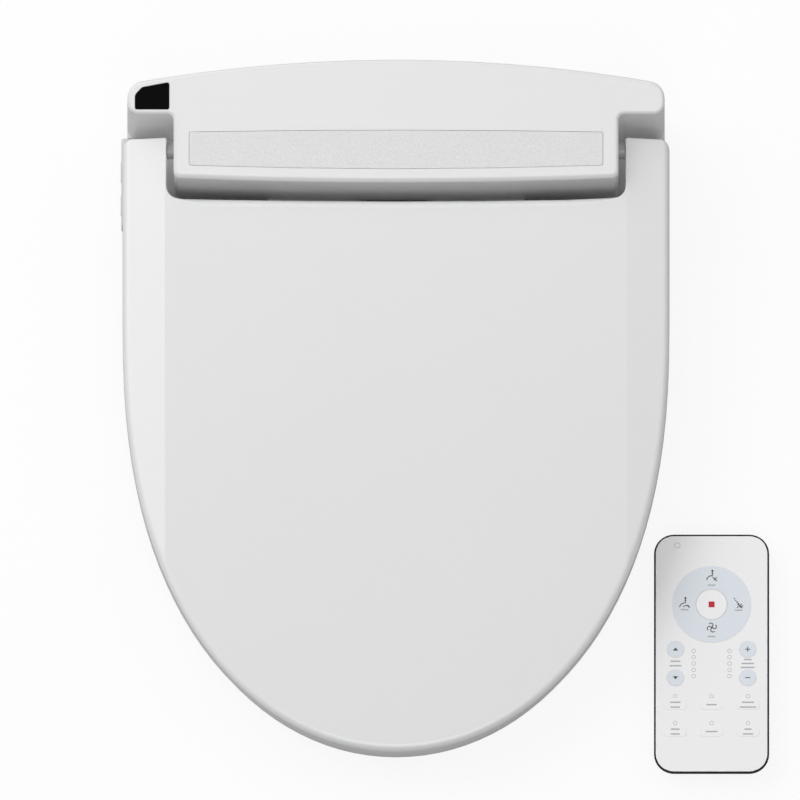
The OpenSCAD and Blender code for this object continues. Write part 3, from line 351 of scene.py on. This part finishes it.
plate_grey = moulded("plate_grey", (0.42, 0.42, 0.43), 0.5, 0.03, 500.0, 0.15)
eased("mounting_plate", plate_grey, 0.4, 2)
bushing_rubber = moulded("bushing_rubber", (0.06, 0.06, 0.06), 0.75, 0.05, 300.0, 0.2)
eased("bolt_bushings", bushing_rubber, 0.3, 2)

# ---- Base of the housing ----
# The lower half of the housing, moulded in white plastic with a dull inside. Four rubber feet are
# pressed into it, and four screws come up through it into the cover.

white_satin = moulded("white_satin", (0.82, 0.82, 0.825), 0.38, 0.01, 600.0, 0.08)
base_low, base_high = (corner * 1000 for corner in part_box("base_case"))


def base_radius(middle, edge):
    """Rounds the outer foot of the walls."""
    inward = min(middle.x - base_low.x, base_high.x - middle.x, base_high.y - middle.y)
    at_foot = middle.z < base_low.z + 0.2 and inward < 14
    return 1.0 if at_foot and edge.calc_length() > 0.002 else 0.0


eased("base_case", white_satin, base_radius, 3)
grey_rubber = moulded("grey_rubber", (0.26, 0.26, 0.27), 0.7, 0.03, 400.0, 0.2)
finish("base_feet", grey_rubber)
zinc_steel = moulded("zinc_steel", (0.6, 0.6, 0.58), 0.35, 0.05, 300.0, 0.1, Metallic=1.0)
finish("case_screws", zinc_steel)

# ---- Water ----
# Cold water comes in through a nickel-plated fitting with a half-inch thread, and a valve with a
# solenoid shuts it off. It is warmed in a tank and goes through milky hoses to the nozzles.

nickel = moulded("nickel_plate", (0.62, 0.61, 0.58), 0.18, 0.03, 200.0, 0.06, Metallic=1.0)
eased("inlet_fitting", nickel, 0.5, 2)
low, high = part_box("inlet_fitting")
thread_pitch, thread_turns, steps_a_turn = 0.001814, 6, 24
thread_from, shank_radius = 0.0012, 0.0104
ridge = ((-0.0002, -0.0007), (0.0004, -0.0001), (0.0004, 0.0001), (-0.0002, 0.0007))
thread = bmesh.new()
profile = [thread.verts.new((shank_radius + out, 0, up)) for out, up in ridge]
outline = [thread.edges.new((profile[i], profile[(i + 1) % 4])) for i in range(4)]
bmesh.ops.spin(thread, geom=profile + outline, cent=(0, 0, 0), axis=(0, 0, 1),
               angle=2 * math.pi * thread_turns, steps=steps_a_turn * thread_turns,
               dvec=(0, 0, thread_pitch / steps_a_turn), use_merge=False)
bmesh.ops.holes_fill(thread, edges=[e for e in thread.edges if e.is_boundary], sides=4)
bmesh.ops.recalc_face_normals(thread, faces=thread.faces[:])
bmesh.ops.translate(thread, verts=thread.verts[:],
                    vec=((low.x + high.x) / 2, (low.y + high.y) / 2, low.z + thread_from))
put_in_order(thread)
piece_from(thread, "inlet_thread", "inlet_fitting", nickel)
valve_grey = moulded("valve_grey", (0.36, 0.36, 0.35), 0.5, 0.03, 500.0, 0.12)
coil_black = moulded("coil_black", (0.03, 0.03, 0.035), 0.4, 0.02, 300.0, 0.1)
coil_height = 23.9
coil_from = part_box("inlet_valve")[1].z * 1000 - coil_height
eased("inlet_valve", [valve_grey, coil_black], 0.15, 2,
      paint=lambda centre: int(centre.z > coil_from))
tank_plastic = moulded("tank_plastic", (0.66, 0.66, 0.60), 0.45, 0.05, 250.0, 0.1,
                       Subsurface_Weight=0.15)
tank_rim_z = 61.5
eased("heater_tank", tank_plastic, lambda middle, edge: 1.2 if middle.z > tank_rim_z else 0.0, 3)
eased("flow_valve", tank_plastic, 0.4, 2)
finish("water_hoses", moulded("milky_hose", (0.72, 0.72, 0.69), 0.35, 0.03, 300.0, 0.05))

# ---- Nozzles ----
# Two glossy wands slide out under the seat on racks that a pair of small geared motors drive. They
# run in a grey cradle inside the base.

wand_white = moulded("wand_white", (0.83, 0.83, 0.83), 0.15, 0.01, 500.0, 0.02)


def wand_radius(middle, edge):
    """Rounds the tips."""
    return 1.6 if middle.z < 25 and middle.y < -40 else 0.0


for node in ("rear_nozzle", "front_nozzle"):
    eased(node, wand_white, wand_radius, 4, 60)
cradle_grey = moulded("cradle_grey", (0.34, 0.35, 0.36), 0.55, 0.03, 400.0, 0.15)
finish("nozzle_cradle", cradle_grey)
can_steel = moulded("can_steel", (0.55, 0.55, 0.54), 0.3, 0.04, 250.0, 0.1, Metallic=1.0)
eased("nozzle_motors", can_steel, 0.6, 2)
acetal = moulded("acetal", (0.78, 0.76, 0.66), 0.4, 0.02, 500.0, 0.05)
finish("rear_pinion", acetal)
finish("front_pinion", acetal)

# ---- Dryer ----
# A drum fan behind the right side of the shroud blows warm air through a duct. A hinged flap in the
# shroud keeps its mouth shut.

duct_grey = moulded("duct_grey", (0.12, 0.12, 0.13), 0.5, 0.03, 400.0, 0.15)
eased("blower_housing", duct_grey, 0.5, 2, 60)
eased("blower_motor", can_steel, 0.8, 2)
finish("impeller", moulded("fan_grey", (0.2, 0.2, 0.21), 0.45, 0.03, 400.0, 0.1))
eased("dryer_flap", white_satin, 0.3, 2)

# ---- Electrics ----
# A lacquered board stands in the rear of the base and carries a relay, a transformer and two
# capacitors. The mains lead leaves through a rubber gland in the back.


def patterned(name, draw_mask, height):
    """A finish whose colour, roughness and height follow one mask. draw_mask makes it at the
    grain's scale, and height is in metres."""
    tree, start, end = group_of(name, finish_inputs, finish_outputs)
    place = tree.nodes.new("ShaderNodeTexCoord").outputs["Object"]
    mask = draw_mask(tree, place, start.outputs["Grain"])
    wire(tree, start, end, mask, None, mask, height)
    return tree


def copper_tracks(tree, place, grain):
    """A net of thin lines, as tracks under lacquer."""
    tracks = tree.nodes.new("ShaderNodeTexVoronoi")
    tracks.feature = "DISTANCE_TO_EDGE"
    tree.links.new(place, tracks.inputs["Vector"])
    tree.links.new(grain, tracks.inputs["Scale"])
    return spread(tree, tracks.outputs["Distance"], 0.05, 0.09, 1.0, 0.0)


copper = patterned("board_lacquer", copper_tracks, 0.0001)
board_green = moulded("board_green", (0.02, 0.16, 0.06), 0.3, 0.6, 260.0, 0.3, copper)
part_black = moulded("part_black", (0.02, 0.02, 0.022), 0.45, 0.02, 300.0, 0.1)
part_blue = moulded("part_blue", (0.03, 0.06, 0.2), 0.3, 0.02, 300.0, 0.05)
board_thick = 1.7
board_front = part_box("main_board")[1].y * 1000 - board_thick
capacitors_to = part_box("blower_housing")[1].x * 1000 + 20
capacitors_from_z = 50


def board_paint(centre):
    """Green for the board, blue for its capacitors and black for its other parts."""
    if centre.y > board_front:
        return 0
    return 2 if centre.x < capacitors_to and centre.z > capacitors_from_z else 1


eased("main_board", [board_green, part_black, part_blue], 0.3, 2, paint=board_paint)
gland_rubber = moulded("gland_rubber", (0.08, 0.08, 0.08), 0.7, 0.04, 350.0, 0.2)
eased("cord_gland", gland_rubber, 0.5, 3)

# ---- Hinges ----
# The lid turns with the left shaft and the seat with the right one. Both shafts are moulded in a
# duller white, and each ends in a soft-close damper inside the housing.

boss_white = moulded("boss_white", (0.5, 0.5, 0.51), 0.3, 0.01, 500.0, 0.05)
eased("lid_shaft", boss_white, 0.4, 2)
eased("seat_shaft", boss_white, 0.4, 2)
damper_grey = moulded("damper_grey", (0.14, 0.14, 0.15), 0.45, 0.03, 400.0, 0.1)
eased("hinge_dampers", damper_grey, 0.4, 2)

# ---- Top cover ----
# The upper half of the housing, moulded in glossy white. Its rear and side edges are well rounded,
# the front lip less so, and it has shallow pockets for the trim strip and the receiver's window.

white_gloss = moulded("white_gloss", (0.84, 0.84, 0.845), 0.25, 0.004, 700.0, 0.02)


def rims(edge):
    """Whether an edge lies between an upward face and a wall."""
    up = sorted(face.normal.z for face in edge.link_faces)
    return up[1] > upward and -0.2 < up[0] < 0.5


def share(distance, whole):
    """How far along a stretch of some length a point lies, from 0 to 1."""
    return min(1, max(0, distance / whole))


cover_lowest_rim = 94
cover_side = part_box("top_case")[1].x * 1000


def cover_radius(middle, edge):
    """Rounds the lip a little more in front and the rear corner a little more inwards."""
    x, y, z = abs(middle.x), middle.y, middle.z
    in_trim_pocket = x < 148 and -21 < y < 9
    in_window_pocket = 155 < x < 184.5 and 20.3 < y < 41 - (x - 155) / 8
    if not rims(edge) or z < cover_lowest_rim or in_trim_pocket or in_window_pocket:
        return 0.0
    if y < 14:
        return 2.3 + 0.9 * share(-20.6 - y, 4.2)
    return 2.3 + 0.7 * share(cover_side - x, 12) if y > 26 else 2.3


window_x = (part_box("receiver_window")[0].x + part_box("receiver_window")[1].x) / 2
eased("top_case", white_gloss, cover_radius, 6, cuts=(0, window_x))

# ---- Trim strip and window ----
# A thin silver-painted strip is glued into its pocket in the cover. The receiver for the remote
# control looks out through a window of smoked plastic.


def paint_flakes(tree, place, grain):
    """The speckle of metal flakes in paint."""
    return spread(tree, noise(tree, grain, 2.0, place), 0.3, 0.7, -1.0, 1.0)


flake = patterned("silver_flakes", paint_flakes, 0.0001)
silver = moulded("silver_paint", (0.73, 0.73, 0.74), 0.42, 0.06, 900.0, 0.3, flake,
                 Metallic=0.25)
eased("trim_plate", silver, lambda middle, edge: 0.2 if rims(edge) else 0.0, 2)
smoked = moulded("smoked_window", (0.003, 0.003, 0.003), 0.12, 0.0, 100.0, 0.0,
                 Specular_IOR_Level=0.015)
eased("receiver_window", smoked, lambda middle, edge: 0.3 if rims(edge) else 0.0, 2)

# ---- Side panel ----
# A white panel with two pale keys sits in the housing's left side, where a hand finds it without
# looking. The grey key on the right side lets the seat off its mounting plate.

panel_low, panel_high = (corner * 1000 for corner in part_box("side_panel"))


def panel_radius(middle, edge):
    """Rounds the rim of the outer face."""
    to_rim = min(middle.y - panel_low.y, panel_high.y - middle.y,
                 middle.z - panel_low.z, panel_high.z - middle.z)
    return 1.6 if middle.x < panel_low.x + 1 and to_rim < 1 else 0.0


eased("side_panel", white_gloss, panel_radius, 4, 60)
key_pale = moulded("key_pale", (0.74, 0.745, 0.75), 0.4, 0.02, 600.0, 0.08)
key_grey = moulded("key_grey", (0.5, 0.51, 0.52), 0.4, 0.02, 600.0, 0.08)
for node in ("side_button_front", "side_button_rear"):
    eased(node, key_pale, 0.35, 3, 60)
eased("release_button", key_grey, 0.35, 3, 60)

# ---- Seat ----
# Two white shells are welded together into the ring, with a heating film glued under the top one.
# Four rubber bumpers carry it on the bowl.

seat_white = moulded("seat_white", (0.84, 0.84, 0.845), 0.25, 0.004, 700.0, 0.02)


def ring_radius(middle, edge):
    """Rounds the rim of the opening, and the outer rim but for the necks and the rear."""
    at_neck = middle.y > -80 and abs(middle.x) > 160
    if not rims(edge) or at_neck or middle.y > -41:
        return 0.0
    in_opening = (middle.x / 135) ** 2 + ((middle.y + 228) / 155) ** 2 < 1
    return 7.0 if in_opening else 5.0


def foot_radius(middle, edge):
    """Rounds the lower outer rim of the ring."""
    return 1.2 if middle.z < 11 and middle.y < -100 else 0.0


eased("seat_top", seat_white, ring_radius, 6, cuts=(0,))
eased("seat_bottom", seat_white, foot_radius, 3, 60)


def heating_wires(tree, place, grain):
    """Even stripes of wire under a film."""
    wires = tree.nodes.new("ShaderNodeTexWave")
    wires.bands_direction = "Y"
    wires.inputs["Distortion"].default_value = 0.0
    tree.links.new(place, wires.inputs["Vector"])
    tree.links.new(grain, wires.inputs["Scale"])
    return spread(tree, wires.outputs["Fac"], 0.8, 0.9)


film = patterned("film_tracks", heating_wires, 0.0002)
finish("seat_heater", moulded("heating_film", (0.45, 0.2, 0.04), 0.35, 0.5, 90.0, 0.2, film))
bumper_grey = moulded("bumper_grey", (0.5, 0.5, 0.5), 0.6, 0.02, 400.0, 0.15)
eased("seat_bumpers", bumper_grey, 1.5, 4)

# ---- Lid ----
# One white moulding with a fold down each side, and two arms that reach back to the hinges on both
# sides of the housing. Four bumpers keep it off the seat.


def lid_radius(middle, edge):
    """Rounds the lid's rim, less towards the arms' ends. The rear edge between the arms gets its
    full radius only away from them."""
    x, y, z = abs(middle.x), middle.y, middle.z
    round_shaft = abs(y) < 12 and z < 78
    if not rims(edge) or round_shaft:
        return 0.0
    if x > 183:
        return 4.5 - 3.2 * share(y + 0.3, 6)
    if y > 4:
        return 1.3 - 0.4 * share(163 - x, 1.5)
    if y > -45 and x < 163:
        return 0.9 + 5.1 * share(161.5 - x, 24)
    return 4.5


eased("lid_shell", white_gloss, lid_radius, 6)
eased("lid_bumpers", bumper_grey, 1.0, 3, 60)

# ---- Remote control ----
# A flat black case with a white front that lies on its own beside the seat. Its keys are flush
# with the front, printed in grey, and two cells feed it behind a door in its back.

black_gloss = moulded("black_gloss", (0.006, 0.006, 0.006), 0.3, 0.0, 500.0, 0.02,
                      Specular_IOR_Level=0.3)
remote_white = moulded("remote_white", (0.97, 0.97, 0.975), 0.32, 0.003, 900.0, 0.02)
key_blue = moulded("key_blue", (0.80, 0.845, 0.90), 0.35, 0.004, 900.0, 0.03)
eased("remote_case", black_gloss, 0.3, 2, 60)
eased("battery_door", black_gloss, 0.25, 2, 60)
front_low, front_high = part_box("remote_front")
front_mid = (front_low + front_high) / 2 * 1000


def front_radius(middle, edge):
    """Rounds the outer rim, and not the holes for keys."""
    off = middle - front_mid
    at_rim = abs(off.x) > 38 or abs(off.y) > 84
    return 0.35 if rims(edge) and at_rim else 0.0


eased("remote_front", remote_white, front_radius, 3)
ring_keys = ["ring_key_" + place for place in ("top", "left", "right", "bottom")]
pads = ["pad_%d" % number for number in range(1, 7)]
key_grows = 0.00014
for node in pads + ring_keys + ["stop_key"]:
    # These keys all but close their gaps
    low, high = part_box(node)
    size = high - low
    bm = merged(node)
    bmesh.ops.scale(bm, verts=bm.verts[:], space=Matrix.Translation(-(low + high) / 2),
                    vec=(1 + key_grows / size.x, 1 + key_grows / size.y, 1))
    key = piece_from(bm, node + "_face", node, key_blue if node in ring_keys else remote_white)
    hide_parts(node)
for node in ("round_key_up", "round_key_down", "round_key_plus", "round_key_minus"):
    finish(node, key_blue)
finish("indicator_lights", remote_white)
finish("remote_board", board_green)
sleeve = moulded("cell_sleeve", (0.03, 0.08, 0.25), 0.25, 0.02, 300.0, 0.02)
cell_low, cell_high = (corner * 1000 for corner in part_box("remote_cells"))
bare_end = 1.1


def cell_paint(centre):
    """Bare steel at both ends of a cell, and its sleeve between them."""
    return int(min(centre.y - cell_low.y, cell_high.y - centre.y) < bare_end)


eased("remote_cells", [sleeve, can_steel], 0.3, 2, paint=cell_paint)
finish("cell_contacts", nickel)

# ---- Prints on the remote control ----
# Thin grey ink on the keys and the front: a figure and its spray, a fan, arrows, plus and minus,
# rings round the lights, and plain bars where the labels go. The stop mark is red.

ink_height, ink_sink = 0.00006, 0.00001


def disc(bm, x, y, radius):
    """A round dot."""
    bmesh.ops.create_circle(bm, cap_ends=True, segments=12, radius=radius,
                            matrix=Matrix.Translation((x, y, 0)))


def stroke(bm, x, y, length, width=0.5, angle=0.0):
    """A straight stroke centred on a point."""
    matrix = (Matrix.Translation((x, y, 0)) @ Matrix.Rotation(math.radians(angle), 4, "Z")
              @ Matrix.Diagonal((length, width, 1, 1)))
    bmesh.ops.create_grid(bm, x_segments=1, y_segments=1, size=0.5, matrix=matrix)


def arc(bm, x, y, radius, first, last, width=0.5, steps=10, closed=False):
    """A curved stroke about a point, from one angle to another in degrees."""
    turned = Matrix.Rotation(math.radians(first), 3, "Z")
    ends = [bm.verts.new(Vector((x, y, 0)) + turned @ Vector((r, 0, 0)))
            for r in (radius - width / 2, radius + width / 2)]
    bmesh.ops.spin(bm, geom=[*ends, bm.edges.new(ends)], cent=(x, y, 0), axis=(0, 0, 1),
                   angle=math.radians(last - first), steps=steps, use_merge=closed)


def printed(name, node, ink, draw, centre=None):
    """Ink on top of a node. draw works in mm about the node's centre, or about another point."""
    low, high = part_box(node)
    bm = bmesh.new()
    draw(bm)
    bmesh.ops.recalc_face_normals(bm, faces=bm.faces[:])
    flats = bmesh.ops.extrude_face_region(bm, geom=bm.faces[:])["geom"]
    bmesh.ops.translate(bm, verts=[g for g in flats if isinstance(g, bmesh.types.BMVert)],
                        vec=(0, 0, ink_height * 1000))
    bmesh.ops.recalc_face_normals(bm, faces=bm.faces[:])
    bmesh.ops.scale(bm, verts=bm.verts[:], vec=(0.001, 0.001, 0.001))
    middle = centre or (low + high) / 2
    bmesh.ops.translate(bm, verts=bm.verts[:], vec=(middle.x, middle.y, high.z - ink_sink))
    put_in_order(bm)
    piece_from(bm, name, node, ink)


ink_grey = moulded("ink_grey", (0.06, 0.065, 0.07), 0.5, 0.0, 900.0, 0.02)
ink_pale = moulded("ink_pale", (0.45, 0.46, 0.47), 0.5, 0.0, 900.0, 0.02)
ink_red = moulded("ink_red", (0.55, 0.02, 0.04), 0.4, 0.0, 900.0, 0.02)

ring_middle = (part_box("stop_key")[0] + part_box("stop_key")[1]) / 2


def seated_figure(bm, x, y):
    """A head, a back and a bent leg, about a point. The signs below draw about one too."""
    for rise, size in ((4.0, 0.8), (2.4, 0.65), (1.1, 0.5)):
        disc(bm, x + 0.3, y + rise, size)
    arc(bm, x - 0.1, y - 3.2, 3.7, 85, 172, 0.65)


def rear_wash(x, y):
    """A figure on a straight jet."""
    def draw(bm):
        seated_figure(bm, x, y)
        stroke(bm, x + 1.9, y - 1.9, 4.6, 0.6, -44)
        stroke(bm, x + 2.4, y - 1.7, 3.0, 0.6, 42)
    return draw


def front_wash(x, y):
    """A figure on a curved jet."""
    def draw(bm):
        seated_figure(bm, x, y)
        arc(bm, x + 0.8, y - 3.6, 2.2, 20, 150, 0.6)
        stroke(bm, x + 2.6, y - 1.9, 2.4, 0.6, -50)
    return draw


def strong_wash(x, y):
    """A row of drops and a crossed jet."""
    def draw(bm):
        for step in range(4):
            disc(bm, x - 2.6 + step * 0.95, y + 3.4 - step * 1.25, 0.46 + 0.05 * step)
        stroke(bm, x + 1.3, y - 1.9, 4.8, 0.6, -42)
        stroke(bm, x + 0.9, y - 1.9, 4.4, 0.6, 40)
        arc(bm, x + 3.2, y - 3.6, 1.7, 70, 170, 0.6)
    return draw


def fan(x, y):
    """A hub with four curved blades."""
    def draw(bm):
        disc(bm, x, y, 0.55)
        for quarter in range(4):
            turned = math.radians(90 * quarter + 20)
            arc(bm, x + 1.9 * math.cos(turned), y + 1.9 * math.sin(turned), 1.45,
                90 * quarter - 160, 90 * quarter + 60, 0.65)
    return draw


for name, node, draw in (
        ("print_rear_wash", "ring_key_top", rear_wash(0.3, 20.3)),
        ("print_front_wash", "ring_key_left", front_wash(-18.7, 0.6)),
        ("print_strong_wash", "ring_key_right", strong_wash(18.6, 0.8)),
        ("print_dryer", "ring_key_bottom", fan(0.2, -16.8))):
    printed(name, node, ink_grey, draw, ring_middle)
for name, node, x, y in (
        ("bar_rear_wash", "ring_key_top", 0, 13.9),
        ("bar_front_wash", "ring_key_left", -18.9, -3.9),
        ("bar_strong_wash", "ring_key_right", 19.0, -4.2),
        ("bar_dryer", "ring_key_bottom", 0, -23.3)):
    printed(name, node, ink_pale, lambda bm: stroke(bm, x, y, 5.4, 0.9), ring_middle)
printed("print_stop", "stop_key", ink_red, lambda bm: stroke(bm, 0, 0, 4.2, 4.2))


def arrow(up):
    """A triangle that points up where up is 1, and down where it is -1."""
    corners = ((-1.9, -1.0), (1.9, -1.0), (0, 1.2))

    def draw(bm):
        bm.faces.new([bm.verts.new((x, up * y, 0)) for x, y in corners])
    return draw


printed("print_up", "round_key_up", ink_grey, arrow(1))
printed("print_down", "round_key_down", ink_grey, arrow(-1))
printed("print_minus", "round_key_minus", ink_grey, lambda bm: stroke(bm, 0, 0, 3.6, 0.6))
printed("print_plus", "round_key_plus", ink_grey,
        lambda bm: [stroke(bm, 0, 0, 3.6, 0.6), stroke(bm, 0, 1.05, 0.6, 1.5),
                    stroke(bm, 0, -1.05, 0.6, 1.5)])


def bars(lengths, pitch):
    """Plain bars, one below the other, in the place of a label."""
    def draw(bm):
        for row, length in enumerate(lengths):
            stroke(bm, 0, pitch * ((len(lengths) - 1) / 2 - row), length, 0.95)
    return draw


pad_lines = ((7.4, 6.4), (7.2,), (8.8, 11.4), (6.2, 6.4), (8.2,), (5.0, 7.4))
for pad, lengths in zip(pads, pad_lines):
    printed("bar_" + pad, pad, ink_pale, bars(lengths, 3.5))


def light_centres():
    """Centre and radius, in mm, of each small lens in the front."""
    bm = bmesh.new()
    bm.from_mesh(frame["nodes"]["indicator_lights"].data)
    bmesh.ops.remove_doubles(bm, verts=bm.verts[:], dist=same_point)
    unseen = set(bm.verts)
    lenses = []
    while unseen:
        heap, lens = [unseen.pop()], []
        while heap:
            vert = heap.pop()
            lens.append(vert.co.copy())
            for edge in vert.link_edges:
                other = edge.other_vert(vert)
                if other in unseen:
                    unseen.remove(other)
                    heap.append(other)
        left, right = min(c.x for c in lens), max(c.x for c in lens)
        near, far = min(c.y for c in lens), max(c.y for c in lens)
        lenses.append(((left + right) * 500, (near + far) * 500, (right - left) * 500))
    bm.free()
    return sorted(lenses)


def light_rings(bm):
    """A thin ring round each small lens."""
    for x, y, radius in light_centres():
        arc(bm, x - front_mid.x, y - front_mid.y, radius * 1.1, 0, 360, 0.32, 32, True)


printed("print_light_rings", "remote_front", ink_pale, light_rings)
for upper, lower, lengths, pitch in (
        ("round_key_up", "round_key_down", (7.0, 8.4), 3.3),
        ("round_key_plus", "round_key_minus", (5.4, 8.8, 9.8), 3.3 / 1.15)):
    between = sum([*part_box(upper), *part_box(lower)], Vector()) / 4
    printed("bar_between_" + upper, "remote_front", ink_pale, bars(lengths, pitch), between)
